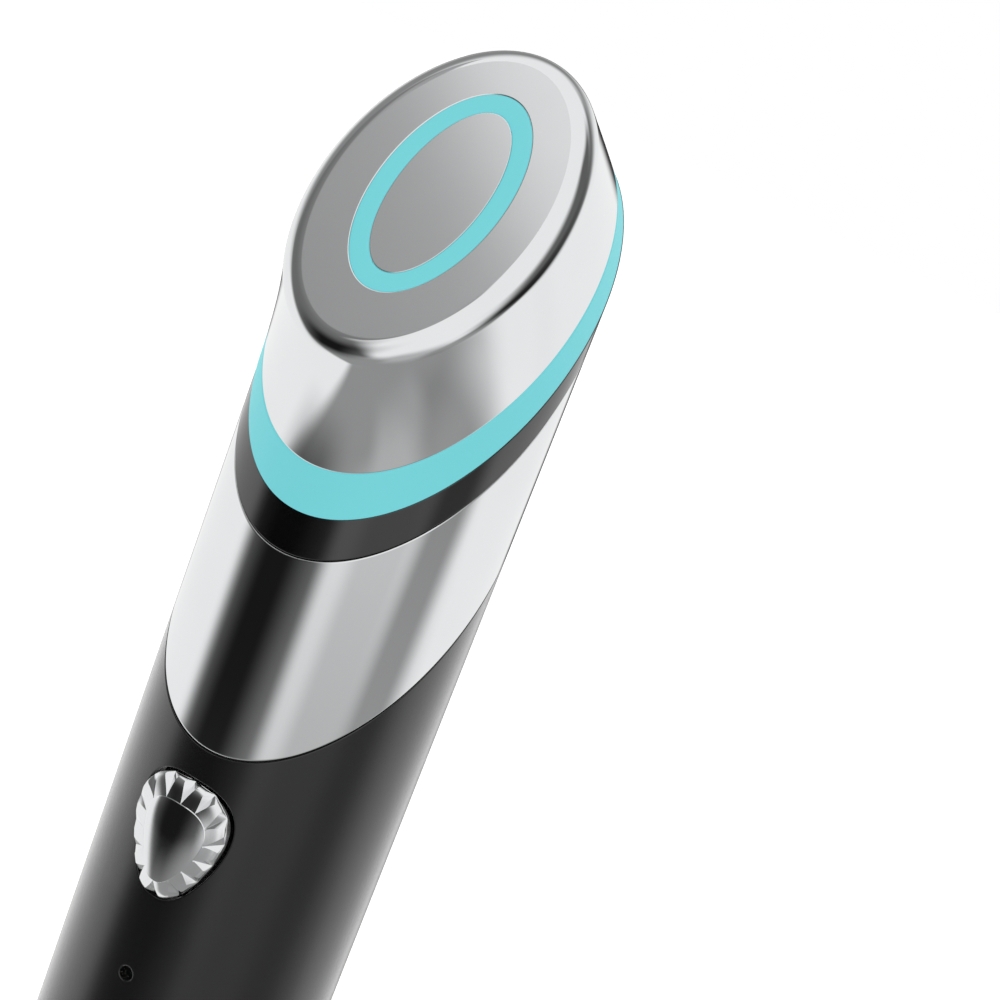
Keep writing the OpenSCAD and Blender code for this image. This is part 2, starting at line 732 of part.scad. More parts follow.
// Rows of the gem: share of the outline, distance from the axis, and the notch's extra share and drop
gem_rows = [
    [1, flange_out - 0.4, 0, 0],
    [1, rim_out - 0.9, 0, 0],
    [1, rim_out, 0.09, 0.45],
    [0.97, rim_out + button_rise * 0.25, 0.13, 0.5],
    [0.68, rim_out + button_rise * 0.62, 0, 0],
    [0.62, rim_out + button_rise * 0.72, 0, 0],
    [0.35, rim_out + button_rise * 0.95, 0, 0],
    [0.08, rim_out + button_rise, 0, 0]];
function gem_point(row, i, n) =
    let (notch = (i % 4) == 0 ? 1 : 0, e = egg(360 * i / n, 0), s = row[0] - notch * row[2])
    [e[0] * s, e[1] * s, row[1] - notch * row[3]];

module button_cap() {
    n = 4 * button_lobes;
    color([0.82, 0.82, 0.84]) at_front(button_z) union() {
        loft([for (row = gem_rows) [for (i = [n - 1 : -1 : 0]) gem_point(row, i, n)]], n);
        egg_prism(button_flange, flange_rear, flange_out);
        translate([0, 0, flange_rear - nub_t]) cylinder(r = nub_r, h = nub_t + 0.1, $fn = 32);
    }
}

module neck_core() {
    color([0.18, 0.18, 0.2]) difference() {
        union() {
            difference() {
                intersection() {
                    translate([0, 0, neck_low]) cylinder(r = core_r, h = FAR, $fn = 96);
                    below_cut(body_h);
                }
                difference() {
                    translate([0, 0, neck_low - 1]) cylinder(r = core_in, h = FAR, $fn = 96);
                    // The slanted bulkhead stays
                    translate([0, 0, body_h]) rotate([cut_tilt, 0, 0]) translate([-FAR, -FAR, -bulkhead_t])
                        cube([2 * FAR, 2 * FAR, 2 * FAR]);
                }
            }
            at_cut() oval(riser_a, riser_b, -0.5, face_board_low);
        }
        at_cut() oval(riser_a - riser_wall, riser_b - riser_wall, -bulkhead_t - 1, face_board_low + 1);
        at_cut() for (p = head_screw_at) translate([p[0], p[1], -10])
            cylinder(r = screw_pass_r, h = 20, $fn = 32);
        at_cut() for (x = [-ring_lead_x, ring_lead_x]) translate([x, ring_lead_v, -10])
            cylinder(r = 0.6, h = 20, $fn = 24);
        // Clearance behind the button
        if (neck_notch_top > neck_low) translate([-neck_notch_w / 2, -FAR, neck_low - 1])
            cube([neck_notch_w, FAR, neck_notch_top - neck_low + 1]);
        at_front(neck_screw_z) for (s = [-1, 1]) facing(s) translate([0, 0, core_in - 1]) {
            cylinder(r = screw_pass_r, h = 10, $fn = 32);
            translate([0, 0, 1 + neck_wall - neck_screw_head_t - fit])
                cylinder(r = neck_screw_head_r + 0.2, h = 10, $fn = 32);
        }
        at_front(contact_z) cylinder(r = contact_r + 0.2, h = FAR, $fn = 32);
    }
}

module sleeve_contact() {
    color([0.85, 0.68, 0.3]) at_front(contact_z) union() {
        translate([0, 0, board_front]) cylinder(r = contact_base_r, h = contact_base_h, $fn = 32);
        translate([0, 0, board_front]) cylinder(r = contact_r, h = bore_r - board_front - slip, $fn = 32);
    }
}

module neck_screws() {
    color([0.7, 0.7, 0.72]) for (s = [-1, 1]) at_front(neck_screw_z) facing(s)
        translate([0, 0, core_r - slip]) rotate([180, 0, 0])
            screw(neck_screw_len, screw_r, neck_screw_head_r, neck_screw_head_t);
}

module chrome_sleeve() {
    color([0.8, 0.8, 0.82]) slanted_slice(sleeve_z, band_z - seam);
}

module black_band() {
    color([0.05, 0.05, 0.05]) slanted_slice(band_z, body_h - seam);
}

module light_ring() {
    n = 96;
    color([0.47, 0.82, 0.84]) at_cut() difference() {
        loft([for (k = [0 : 2]) row_points(side_row(ring_t * k / 2, 0), n)], n);
        oval(ring_hole_a, ring_hole_b, -1, ring_t + 1, ring_hole_v);
    }
}

module ring_light_board() {
    color([0.05, 0.25, 0.14]) at_cut() difference() {
        oval(ring_hole_a - 0.2, ring_hole_b - 0.2, 0, ring_board_t, ring_hole_v);
        oval(riser_a + 0.3, riser_b + 0.3, -1, ring_board_t + 1);
        for (p = head_screw_at) translate([p[0], p[1], -1]) cylinder(r = screw_pass_r, h = 4, $fn = 32);
    }
}

module ring_sources() {
    color([0.95, 0.95, 0.9]) at_cut() for (i = [0 : ring_source_count - 1]) {
        t = 360 * (i + 0.5) / ring_source_count;
        translate([(ring_hole_a - ring_source_in) * cos(t),
            ring_hole_v + (ring_hole_b - ring_source_in) * sin(t), ring_board_t])
            cylinder(r = ring_source_r, h = ring_source_h, $fn = 24);
    }
}

flex_low = -bulkhead_t - 1.2;
flex_t = 0.2;
module ring_leads() {
    color([0.2, 0.2, 0.2]) at_cut() for (x = [-ring_lead_x, ring_lead_x])
        rod([x, ring_lead_v, flex_low + flex_t], [x, ring_lead_v, 0], ring_lead_r);
}

module head_shell() {
    n = 96;
    low = ring_t + seam;
    color([0.8, 0.8, 0.82]) at_cut() difference() {
        loft(concat([for (k = [0 : 4]) row_points(side_row(low + (edge_h - low) * k / 4, 0), n)],
            [for (k = [1 : 6]) row_points(side_row(edge_h + face_edge_r * sin(15 * k), 0), n)]), n);
        difference() {
            loft(concat(
                [for (k = [0 : 3]) row_points(side_row((1 - k / 3) * low * 0.9 + k / 3 * edge_h,
                    shell_wall), n)],
                [[for (p = row_points(side_row(edge_h, shell_wall + 0.6), n)) [p[0], p[1], face_under]]]), n);
            for (p = head_screw_at) translate([p[0], p[1], ring_board_t])
                cylinder(r = boss_r, h = head_h - ring_board_t - 0.5, $fn = 48);
        }
        oval(oval_a + slip, oval_b + slip, face_under - 1, head_h + 1);
        for (p = head_screw_at) translate([p[0], p[1], 0]) cylinder(r = screw_hole_r, h = 7, $fn = 32);
    }
    // The feet of the screw bosses stand on the ring's light board
    color([0.7, 0.7, 0.72]) at_cut() for (p = head_screw_at) translate([p[0], p[1], 0]) difference() {
        translate([0, 0, ring_board_t]) cylinder(r = boss_r, h = ring_t + 2 - ring_board_t, $fn = 48);
        translate([0, 0, -1]) cylinder(r = screw_hole_r, h = 9, $fn = 32);
    }
}

module head_screws() {
    color([0.7, 0.7, 0.72]) at_cut() for (p = head_screw_at)
        translate([p[0], p[1], -bulkhead_t - screw_head_t]) screw(head_screw_len);
}

module face_light_oval() {
    color([0.47, 0.82, 0.84]) at_cut() difference() {
        union() {
            oval(oval_a, oval_b, flange_low, head_h);
            oval(oval_a + flange_step, oval_b + flange_step, flange_low, face_under);
        }
        oval(plate_a, plate_b, flange_low - 1, head_h + 1);
    }
}

module centre_plate() {
    color([0.7, 0.7, 0.71]) at_cut() oval(plate_a - slip, plate_b - slip, flange_low, head_h);
}

face_source_at = [for (i = [0 : 11])
    [(oval_a - oval_band / 2) * cos(30 * i + 15), (oval_b - oval_band / 2) * sin(30 * i + 15)]];
shell_contact_v = oval_b + 1.95;

module face_reflector() {
    color([0.92, 0.92, 0.92]) at_cut() difference() {
        oval(face_board_a, face_board_b, face_board_top, flange_low);
        translate([0, face_shift, face_board_top - 1]) {
            for (p = face_source_at) translate([p[0], p[1], 0])
                cylinder(r = face_source_r + 0.35, h = FAR / 4, $fn = 32);
            cylinder(r = centre_contact_r + 0.2, h = FAR / 4, $fn = 32);
            for (s = [-1, 1]) translate([0, s * shell_contact_v, 0])
                cylinder(r = shell_contact_r + 0.15, h = FAR / 4, $fn = 32);
        }
    }
}

module face_board() {
    color([0.05, 0.25, 0.14]) at_cut() oval(face_board_a, face_board_b, face_board_low, face_board_top);
}

module face_sources() {
    color([0.95, 0.95, 0.9]) at_cut() translate([0, face_shift, face_board_top])
        for (p = face_source_at) translate([p[0], p[1], 0])
            cylinder(r = face_source_r, h = face_source_h, $fn = 24);
}

module centre_contact() {
    color([0.85, 0.68, 0.3]) at_cut() translate([0, face_shift, face_board_top])
        cylinder(r = centre_contact_r, h = reflector_t, $fn = 32);
}

module shell_contacts() {
    color([0.85, 0.68, 0.3]) at_cut() translate([0, face_shift, face_board_top]) for (s = [-1, 1])
        translate([0, s * shell_contact_v, 0])
            cylinder(r = shell_contact_r, h = face_under - face_board_top, $fn = 32);
}

// The flex runs up behind the main board beside the screw boss, along the bulkhead and up through the riser
flex_v = -2;
flex_x = 2.4;
flex_w = 2;
flex_y = -board_front + board_t + 0.15;
flex_z = board_top - 7;
flex_up = body_h + (flex_low + 0.5) / cos(cut_tilt) + tan(cut_tilt) * flex_y;
module head_flex() {
    color([0.75, 0.5, 0.15]) union() {
        difference() {
            translate([flex_x, flex_y - flex_t / 2, flex_z]) cube([flex_w, flex_t, flex_up - flex_z]);
            translate([0, 0, body_h]) rotate([cut_tilt, 0, 0]) translate([-FAR, -FAR, flex_low + flex_t])
                cube([2 * FAR, 2 * FAR, FAR]);
        }
        at_cut() {
            start_v = flex_y * cos(cut_tilt) + (flex_low + (flex_y * sin(cut_tilt))) * tan(cut_tilt);
            translate([flex_x, start_v, flex_low]) cube([flex_w, flex_v - start_v, flex_t]);
            translate([flex_x, flex_v - flex_t, flex_low]) cube([flex_w, flex_t, face_board_low - flex_low]);
        }
    }
}

body_tube();
base_cap();
base_seal();
base_screws();
usb_socket();
usb_tongue();
charge_board();
chassis_front();
chassis_rear();
chassis_screws();
battery_cell();
battery_tabs();
battery_pads();
battery_leads();
charge_leads();
main_board();
board_parts();
board_screws();
status_source();
level_sources();
status_lens();
level_light_pipe();
switch_body();
switch_dome();
switch_plunger();
button_guide();
button_cap();
neck_core();
neck_screws();
chrome_sleeve();
sleeve_contact();
black_band();
light_ring();
ring_light_board();
ring_sources();
ring_leads();
head_shell();
head_screws();
face_light_oval();
centre_plate();
face_reflector();
face_board();
face_sources();
centre_contact();
shell_contacts();
head_flex();
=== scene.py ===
"""The looks of a microcurrent facial wand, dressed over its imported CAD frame.

Metres everywhere, in the frame's own axes: +Z runs up the tube, and the face, the button and the slanted
cuts look to the front, -Y. Sizes are written in millimetres times MM.
"""

import bpy
import numpy as np
from mathutils import Matrix


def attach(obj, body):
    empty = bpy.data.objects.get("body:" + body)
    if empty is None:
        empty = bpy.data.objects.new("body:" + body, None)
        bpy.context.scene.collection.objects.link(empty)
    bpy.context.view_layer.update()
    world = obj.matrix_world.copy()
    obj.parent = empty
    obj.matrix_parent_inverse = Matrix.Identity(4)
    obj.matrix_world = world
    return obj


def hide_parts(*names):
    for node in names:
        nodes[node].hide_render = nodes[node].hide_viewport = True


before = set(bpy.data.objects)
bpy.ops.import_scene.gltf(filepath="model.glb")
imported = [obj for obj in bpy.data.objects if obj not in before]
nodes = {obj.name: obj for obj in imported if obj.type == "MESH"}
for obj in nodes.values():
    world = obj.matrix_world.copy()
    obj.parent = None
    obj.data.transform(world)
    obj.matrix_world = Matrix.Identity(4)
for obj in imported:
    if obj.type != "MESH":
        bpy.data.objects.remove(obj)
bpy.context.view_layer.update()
MM = 0.001

# Camera
# It looks at the wand from the right of its front and from above, rolled, through a long lens. It aims at a
# point beside the tube's axis, and stands at a distance from there.
camera_azimuth, camera_elevation, camera_roll = np.radians([23.83, 17.76, 21.03])
camera_distance = 336.6 * MM
camera_aim_height, camera_aim_side = 134.13 * MM, 12.21 * MM
camera_lens, camera_sensor = 122.11, 36
camera_near = 10 * MM
camera_back = np.array([np.sin(camera_azimuth) * np.cos(camera_elevation),
                        -np.cos(camera_azimuth) * np.cos(camera_elevation), np.sin(camera_elevation)])
level_right = np.array([np.cos(camera_azimuth), np.sin(camera_azimuth), 0])
level_up = np.cross(camera_back, level_right)
camera_right = np.cos(camera_roll) * level_right + np.sin(camera_roll) * level_up
camera_up = np.cos(camera_roll) * level_up - np.sin(camera_roll) * level_right
camera_place = (np.array([0, 0, camera_aim_height]) + camera_aim_side * level_right
                + camera_distance * camera_back)
camera = bpy.data.objects.new("camera", bpy.data.cameras.new("camera"))
bpy.context.scene.collection.objects.link(camera)
camera.data.sensor_width = camera_sensor
camera.data.lens = camera_lens
camera.data.clip_start = camera_near
camera_stand = np.eye(4)
camera_stand[:3] = np.column_stack([camera_right, camera_up, camera_back, camera_place])
camera.matrix_world = Matrix(camera_stand.tolist())
bpy.context.scene.camera = camera

# Body tube
# A drawn aluminium tube, slightly tapered, blasted and anodised black. The foot is rounded and milled with
# flutes, the top is sawn off at a slant, and the openings for button and windows are cut in its front.
base_radius, top_radius = 13.95 * MM, 15 * MM
joint_height = 149.4 * MM
taper = (top_radius - base_radius) / joint_height
bore = 12.7 * MM
cut_tilt = np.radians(52)
tube_top = 122.2 * MM
edge_round, edge_steps = 0.12 * MM, 4
foot_radius = 2.2 * MM
flute_count, flute_depth = 36, 0.17 * MM
flute_top, flute_full = 33 * MM, 18 * MM
lip_height = 4 * MM
mouth_radius, mouth_depth = 11.4 * MM, 1.3 * MM
throat_radius = 10.9 * MM

# The openings, and the heights that bound the wall's close rows round the button and the status window.
button_height, button_gap = 93.4 * MM, 0.26 * MM
button_half, button_lean = np.array([5.04, 6.5]) * MM, 0.3
button_edges = np.array([84, 102.2]) * MM
status_height, status_radius = 77.5 * MM, 0.8 * MM
status_edges = status_height + np.array([-1.4, 1.4]) * MM
level_heights = np.array([42.1, 44.3, 46.5]) * MM
level_radius = 0.6 * MM
level_step = level_heights[1] - level_heights[0]
level_edges = level_heights[[0, -1]] + np.array([-0.5, 0.5]) * level_step

# Each opening takes the place of a block of the wall's grid: its rows, and its columns on each side of the
# front. The steps out to its border lie closer beside the opening.
columns = 432
foot_steps, flute_steps, top_steps = 15, 34, 5
level_rows, status_rows, button_rows = 6, 8, 24
level_columns, status_columns, button_columns = 6, 8, 36
outer_shares = np.append(np.linspace(0, 1, 9)[1:-1] ** 0.8, [0.985, 1])[:, None, None]
inner_shares = np.array([0.3, 0.65])[:, None, None]
ray_steps = 720


def body_radius(height):
    """Outer radius of the tube, which widens evenly with the height."""
    return base_radius + taper * height


def slant_height(axis_height, turn):
    """Height of the slanted plane where it meets the taper at an angle from the front.

    The plane rises to the back by tan(tilt) per unit of y, and y is -radius x cos(turn). So the height
    solves z = h - (base + taper z) cos(turn) tan(tilt).
    """
    rise = np.cos(turn) * np.tan(cut_tilt)
    return (axis_height - base_radius * rise) / (1 + taper * rise)


def polar(radius, turn, height):
    """Points at a radius, an angle from the front towards +X, and a height."""
    radius, turn, height = np.broadcast_arrays(radius, turn, height)
    return np.stack([radius * np.sin(turn), -radius * np.cos(turn), height], axis=-1)


def egg(t, half, lean):
    """Egg outline: x = half width sin(t)^0.75 (1 + lean cos t), z = half height cos(t)."""
    return np.stack([half[0] * np.sign(np.sin(t)) * np.abs(np.sin(t)) ** 0.75 * (1 + lean * np.cos(t)),
                     half[1] * np.cos(t)], axis=-1)


def circle(t, radius):
    """Circle outline, clockwise from the top: x = radius sin(t), z = radius cos(t)."""
    return radius * np.stack([np.sin(t), np.cos(t)], axis=-1)


def grid_quads(index, wrap_rows=False):
    """Corner numbers of the quads between the rows of a grid of vertex numbers, whose columns go round."""
    below, above = (index, np.roll(index, -1, 0)) if wrap_rows else (index[:-1], index[1:])
    return np.stack([below, np.roll(below, -1, 1), np.roll(above, -1, 1), above], axis=-1)


def build(name, points, quads, sharp=35, slots=None):
    """A mesh object from point and quad arrays: smooth, with edges past the sharp angle left hard."""
    mesh = bpy.data.meshes.new(name)
    points, quads = points.reshape(-1, 3), quads.reshape(-1, 4)
    mesh.vertices.add(len(points))
    mesh.vertices.foreach_set("co", points.astype(np.float32).ravel())
    mesh.loops.add(quads.size)
    mesh.loops.foreach_set("vertex_index", quads.astype(np.int32).ravel())
    mesh.polygons.add(len(quads))
    mesh.polygons.foreach_set("loop_start", np.arange(0, quads.size, 4, dtype=np.int32))
    if slots is not None:
        mesh.polygons.foreach_set("material_index", slots.astype(np.int32).ravel())
    mesh.update(calc_edges=True)
    mesh.polygons.foreach_set("use_smooth", np.ones(len(quads), bool))
    mesh.set_sharp_from_angle(angle=np.radians(sharp))
    piece = bpy.data.objects.new(name, mesh)
    bpy.context.scene.collection.objects.link(piece)
    return piece


def shares(rows, edge=0.004):
    """Even steps from 0 to 1, with a close row beside each end that keeps the rounded edges crisp."""
    return np.concatenate([[0, edge], np.linspace(0, 1, rows)[1:-1], [1 - edge, 1]])


turns = np.radians(np.arange(columns) * 360 / columns - 180)
across_flute = (np.degrees(turns) * flute_count / 360 + 0.5) % 1 - 0.5


def flute(height):
    """Depth of the scoops: 1 - (2u)^2 across each flute, full at the foot and fading towards the top."""
    fade = np.clip((flute_top - height) / (flute_top - flute_full), 0, 1)
    return flute_depth * fade * (1 - (2 * across_flute) ** 2)


# Over a rounded edge, inward and short are the shares of its radius by which a row lies in from the wall and
# short of the end: 1 - cos(a) and 1 - sin(a), over a quarter turn.
edge_turn = np.linspace(0, np.pi / 2, edge_steps)[:, None]
inward, short = 1 - np.cos(edge_turn), 1 - np.sin(edge_turn)

# The rows of the tube run up the outside, over the top edge, down the bore and out over the cap's seat.
foot_turn = np.linspace(0, np.pi / 2, foot_steps)[:, None]
foot_rows = polar(body_radius(foot_radius) - foot_radius * (1 - np.sin(foot_turn))
                  - flute(0) * np.sin(foot_turn), turns, foot_radius * (1 - np.cos(foot_turn)))
flute_heights = np.linspace(foot_radius, flute_top, flute_steps)[1:, None]
flute_rows = polar(body_radius(flute_heights) - flute(flute_heights), turns, flute_heights)
plain_heights = np.concatenate([np.linspace(*level_edges, len(level_heights) * level_rows + 1),
                                np.linspace(*status_edges, status_rows + 1),
                                np.linspace(*button_edges, button_rows + 1)])[:, None]
top_line = slant_height(tube_top, turns)
top_share = shares(top_steps)[2:, None]
top_heights = button_edges[1] + (top_line - edge_round - button_edges[1]) * top_share
wall_heights = np.concatenate([np.broadcast_to(plain_heights, (len(plain_heights), columns)), top_heights])
wall_rows = polar(body_radius(wall_heights), turns, wall_heights)
rim_rows = polar(body_radius(top_line) - edge_round * inward[1:], turns, top_line - edge_round * short[1:])
bore_rows = polar(bore, turns, np.concatenate([wall_heights, top_line[None]])[::-1])
seat_rows = np.stack([polar(radius, turns, height) for radius, height in [
    (bore, lip_height), (throat_radius, lip_height), (throat_radius, mouth_depth),
    (mouth_radius, mouth_depth), (mouth_radius, edge_round), (mouth_radius + edge_round, 0)]])
shell_rows = np.concatenate([foot_rows, flute_rows, wall_rows, rim_rows, bore_rows, seat_rows])
index = np.arange(len(shell_rows) * columns).reshape(-1, columns)
shell_quads = grid_quads(index, wrap_rows=True)
kept = np.ones(shell_quads.shape[:2], bool)
first_wall = len(foot_rows) + len(flute_rows)
last_bore = first_wall + len(wall_rows) + len(rim_rows) + len(bore_rows) - 1
front = columns // 2
tube_points, tube_quads = [shell_rows.reshape(-1, 3)], []


def block_border(low, high, left, right):
    """Row and column numbers round a block of the grid, anticlockwise seen from outside."""
    across, up = np.arange(left, right), np.arange(low, high)
    row = np.concatenate([np.full(len(across), low), up, np.full(len(across), high), up[::-1] + 1])
    column = np.concatenate([across, np.full(len(up), right), across[::-1] + 1, np.full(len(up), left)])
    return row, column


def outline_towards(outline, centre_height, loop):
    """The outline's points on the rays from its centre to the loop's points."""
    t = np.linspace(0, 2 * np.pi, ray_steps + 1)
    dense = outline(t)
    angle = np.unwrap(np.arctan2(dense[:, 0], dense[:, 1]))
    wanted = np.arctan2(loop[:, 0], loop[:, 1] - centre_height) % (2 * np.pi)
    return outline(np.interp(wanted, angle, t))


def on_wall(place, radius):
    """Points on the front of a round wall from their x and z: y = -sqrt(radius^2 - x^2)."""
    x, z = place[..., 0], place[..., 1]
    return np.stack([x, -np.sqrt(radius ** 2 - x ** 2), z], axis=-1)


def cut_hole(low, rows, half_columns, outline, centre_height):
    """Cuts one opening: takes a block out of both walls and joins them through the opening.

    The rings run from the block's border over the outer wall to the outline, round its edge, straight in
    along y to the bore, and back over the bore to the inner block's border.
    """
    high, left, right = low + rows, front - half_columns, front + half_columns
    kept[first_wall + low:first_wall + high, left:right] = False
    kept[last_bore - high:last_bore - low, left:right] = False
    row, column = block_border(low, high, left, right)
    outer, inner = index[first_wall + row, column], index[last_bore - row, column]
    border, inner_border = tube_points[0][outer][:, [0, 2]], tube_points[0][inner][:, [0, 2]]
    hole = outline_towards(outline, centre_height, border)
    along = np.roll(hole, -1, 0) - np.roll(hole, 1, 0)
    away = np.stack([along[:, 1], -along[:, 0]], axis=-1) / np.linalg.norm(along, axis=1, keepdims=True)
    hole[:, 1] += centre_height
    flat = border * (1 - outer_shares) + (hole + away * edge_round) * outer_shares
    over = hole + away * edge_round * inward[-2::-1, None]
    over_rings = on_wall(over, body_radius(over[..., 1]))
    over_rings[..., 1] += edge_round * short[-2::-1]
    rings = np.concatenate([
        on_wall(flat, body_radius(flat[..., 1])), over_rings, on_wall(hole[None], bore),
        on_wall(hole * (1 - inner_shares) + inner_border * inner_shares, bore)])
    start = sum(len(points) for points in tube_points)
    between = start + np.arange(rings[..., 0].size).reshape(rings.shape[:2])
    tube_points.append(rings.reshape(-1, 3))
    tube_quads.append(grid_quads(np.vstack([outer, between, inner])).reshape(-1, 4))


for number, height in enumerate(level_heights):
    cut_hole(number * level_rows, level_rows, level_columns, lambda t: circle(t, level_radius), height)
status_low = len(level_heights) * level_rows + 1
cut_hole(status_low, status_rows, status_columns, lambda t: circle(t, status_radius), status_height)
cut_hole(status_low + status_rows + 1, button_rows, button_columns,
         lambda t: egg(t, button_half + button_gap, button_lean), button_height)
tube = build("tube", np.concatenate(tube_points), np.concatenate([shell_quads[kept], *tube_quads]))
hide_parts("body_tube")
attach(tube, "wand")


def linear(hex_colour):
    """A colour written as sRGB hex, turned to the linear values that a shader takes."""
    value = np.array([int(hex_colour[i:i + 2], 16) for i in (0, 2, 4)]) / 255
    return (*np.where(value <= 0.04045, value / 12.92, ((value + 0.055) / 1.055) ** 2.4), 1)


def add(tree, kind, inputs=(), **settings):
    """Adds a node, sets its properties, and fills its inputs with values or links from other sockets."""
    made = tree.nodes.new(kind)
    for name, value in settings.items():
        setattr(made, name, value)
    for name, value in dict(inputs).items():
        if isinstance(value, bpy.types.NodeSocket):
            tree.links.new(value, made.inputs[name])
        else:
            made.inputs[name].default_value = value
    return made


def surface(name, colour, **sockets):
    """A material with one Principled shader. Sockets are given by name, with _ for a space."""
    material = bpy.data.materials.new(name)
    material.use_nodes = True
    shader = material.node_tree.nodes["Principled BSDF"]
    shader.inputs["Base Color"].default_value = linear(colour)
    for socket, value in sockets.items():
        shader.inputs[socket.replace("_", " ")].default_value = value
    return material, material.node_tree, shader


def grain(tree, shader, size, depth, roughness):
    """Fine relief from noise: specks of a size and depth in metres.

    The roughness runs between two values over the range where most of the noise lies, 0.3 to 0.7.
    """
    place = add(tree, "ShaderNodeTexCoord").outputs["Object"]
    speck = add(tree, "ShaderNodeTexNoise", {"Vector": place, "Scale": 1 / size, "Detail": 2}).outputs["Fac"]
    relief = add(tree, "ShaderNodeBump", {"Height": speck, "Distance": depth})
    tree.links.new(relief.outputs["Normal"], shader.inputs["Normal"])
    haze = add(tree, "ShaderNodeMapRange", {"Value": speck, "From Min": 0.3, "From Max": 0.7,
                                            "To Min": roughness[0], "To Max": roughness[1]})
    tree.links.new(haze.outputs["Result"], shader.inputs["Roughness"])


def mottle(tree, shader, size, low, high):
    """Cloudy change of colour between two shades, over patches of a size in metres.

    Inputs 6 and 7 and output 2 of a Mix node are its colours.
    """
    place = add(tree, "ShaderNodeTexCoord").outputs["Object"]
    patch = add(tree, "ShaderNodeTexNoise", {"Vector": place, "Scale": 1 / size, "Detail": 3}).outputs["Fac"]
    shade = add(tree, "ShaderNodeMix", {"Factor": patch, 6: linear(low), 7: linear(high)}, data_type="RGBA")
    tree.links.new(shade.outputs[2], shader.inputs["Base Color"])


# Anodised aluminium, blasted with fine glass beads: near black, with a soft sheen that lifts at the edges.
# The bead marks are 0.08 mm across and barely show.
black_anodised, tree, shader = surface(
    "blasted_black_anodised_aluminium", "121314", IOR=1.45, Coat_Weight=1.0, Coat_IOR=1.35,
    Coat_Roughness=0.22, Sheen_Weight=0.8, Sheen_Roughness=0.3)
grain(tree, shader, 0.08 * MM, 0.0004 * MM, (0.18, 0.22))
mottle(tree, shader, 6 * MM, "111213", "141415")
tube.data.materials.append(black_anodised)

# Base end
# A glass-filled nylon cap closes the tube's foot, with a moulded rubber ring round it. Two steel screws hold
# the cap to the chassis.


def dress(material, *names):
    """Puts a finish on CAD nodes that keep their shape."""
    for name in names:
        for slot in nodes[name].material_slots:
            slot.material = material


# Nylon moulded in a spark-eroded tool: dull black with a fine pebble of 0.12 mm.
black_nylon, tree, shader = surface("spark_textured_black_nylon", "1f1f20", IOR=1.53)
grain(tree, shader, 0.12 * MM, 0.006 * MM, (0.5, 0.65))
mottle(tree, shader, 3 * MM, "1d1d1e", "232324")
dress(black_nylon, "base_cap")
# Moulded nitrile rubber: soft black with a slight bloom.
rubber, tree, shader = surface("moulded_black_rubber", "262626", IOR=1.52)
grain(tree, shader, 0.2 * MM, 0.003 * MM, (0.6, 0.8))
mottle(tree, shader, 2 * MM, "232323", "2b2b2a")
dress(rubber, "base_seal")
# Nickel-plated steel, turned or pressed: bright, with a fine grain of 0.05 mm.
steel, tree, shader = surface("nickel_plated_steel", "dadadb", Metallic=1.0)
grain(tree, shader, 0.05 * MM, 0.001 * MM, (0.18, 0.3))
mottle(tree, shader, 1 * MM, "d4d4d4", "dedede")
dress(steel, "base_screws")

# Charging socket
# A pressed steel shell stands round a nylon tongue. Both are soldered to a small board of their own behind
# the cap, and silicone leads run from there.
dress(steel, "usb_socket")
dress(black_nylon, "usb_tongue")
# Glass cloth and resin under green solder mask: glossy, with the weave showing faintly through it. A real
# thread is 0.5 mm wide, and is drawn about six times as coarse, so that it shows. A Wave node's bands lie
# pi / 10 / scale apart.
thread_width = 3.1416 * MM
board, tree, shader = surface("green_masked_glass_laminate", "307b5e", IOR=1.5)
grain(tree, shader, 0.25 * MM, 0.004 * MM, (0.2, 0.35))
cloth = [add(tree, "ShaderNodeTexWave", {"Vector": add(tree, "ShaderNodeTexCoord").outputs["Object"],
                                         "Scale": np.pi / 10 / thread_width, "Distortion": 0.4},
             bands_direction=way).outputs["Fac"] for way in ("X", "Z")]
woven = add(tree, "ShaderNodeMath", {0: cloth[0], 1: cloth[1]}, operation="MAXIMUM").outputs[0]
weave = add(tree, "ShaderNodeMix", {"Factor": woven, 6: linear("2a7054"), 7: linear("368466")},
            data_type="RGBA").outputs[2]
tree.links.new(weave, shader.inputs["Base Color"])
dress(board, "charge_board")
# Silicone insulation, extruded: smooth red with a dull gloss.
insulation, tree, shader = surface("red_silicone_insulation", "cb6150", IOR=1.41)
grain(tree, shader, 0.3 * MM, 0.002 * MM, (0.4, 0.5))
mottle(tree, shader, 4 * MM, "c65a49", "d06756")
dress(insulation, "charge_leads")

# Chassis
# Two half shells, moulded of glass-filled nylon, carry the cell, the board and the cap. Steel screws hold
# them together.
# Short glass fibres give the grey its light flecks, 0.4 mm across, drawn as coarse as they need to show.
grey_nylon, tree, shader = surface("glass_filled_grey_nylon", "767679", IOR=1.53)
grain(tree, shader, 0.15 * MM, 0.004 * MM, (0.5, 0.65))
mottle(tree, shader, 0.4 * MM, "6f6f72", "7d7d80")
dress(grey_nylon, "chassis_front", "chassis_rear")
dress(steel, "chassis_screws")

# Battery
# A lithium cell in a shrink sleeve. Nickel tabs are spot-welded to it, silicone leads are soldered to these,
# and foam pads bed it in the chassis.
# Shrink-wrapped PVC: glossy blue, faintly rippled where it has drawn tight.
shrink_sleeve, tree, shader = surface("blue_shrink_sleeve", "6199cb", IOR=1.53)
grain(tree, shader, 1.5 * MM, 0.02 * MM, (0.15, 0.25))
mottle(tree, shader, 5 * MM, "5c94c7", "689fd0")
dress(shrink_sleeve, "battery_cell")
dress(steel, "battery_tabs")
dress(insulation, "battery_leads")
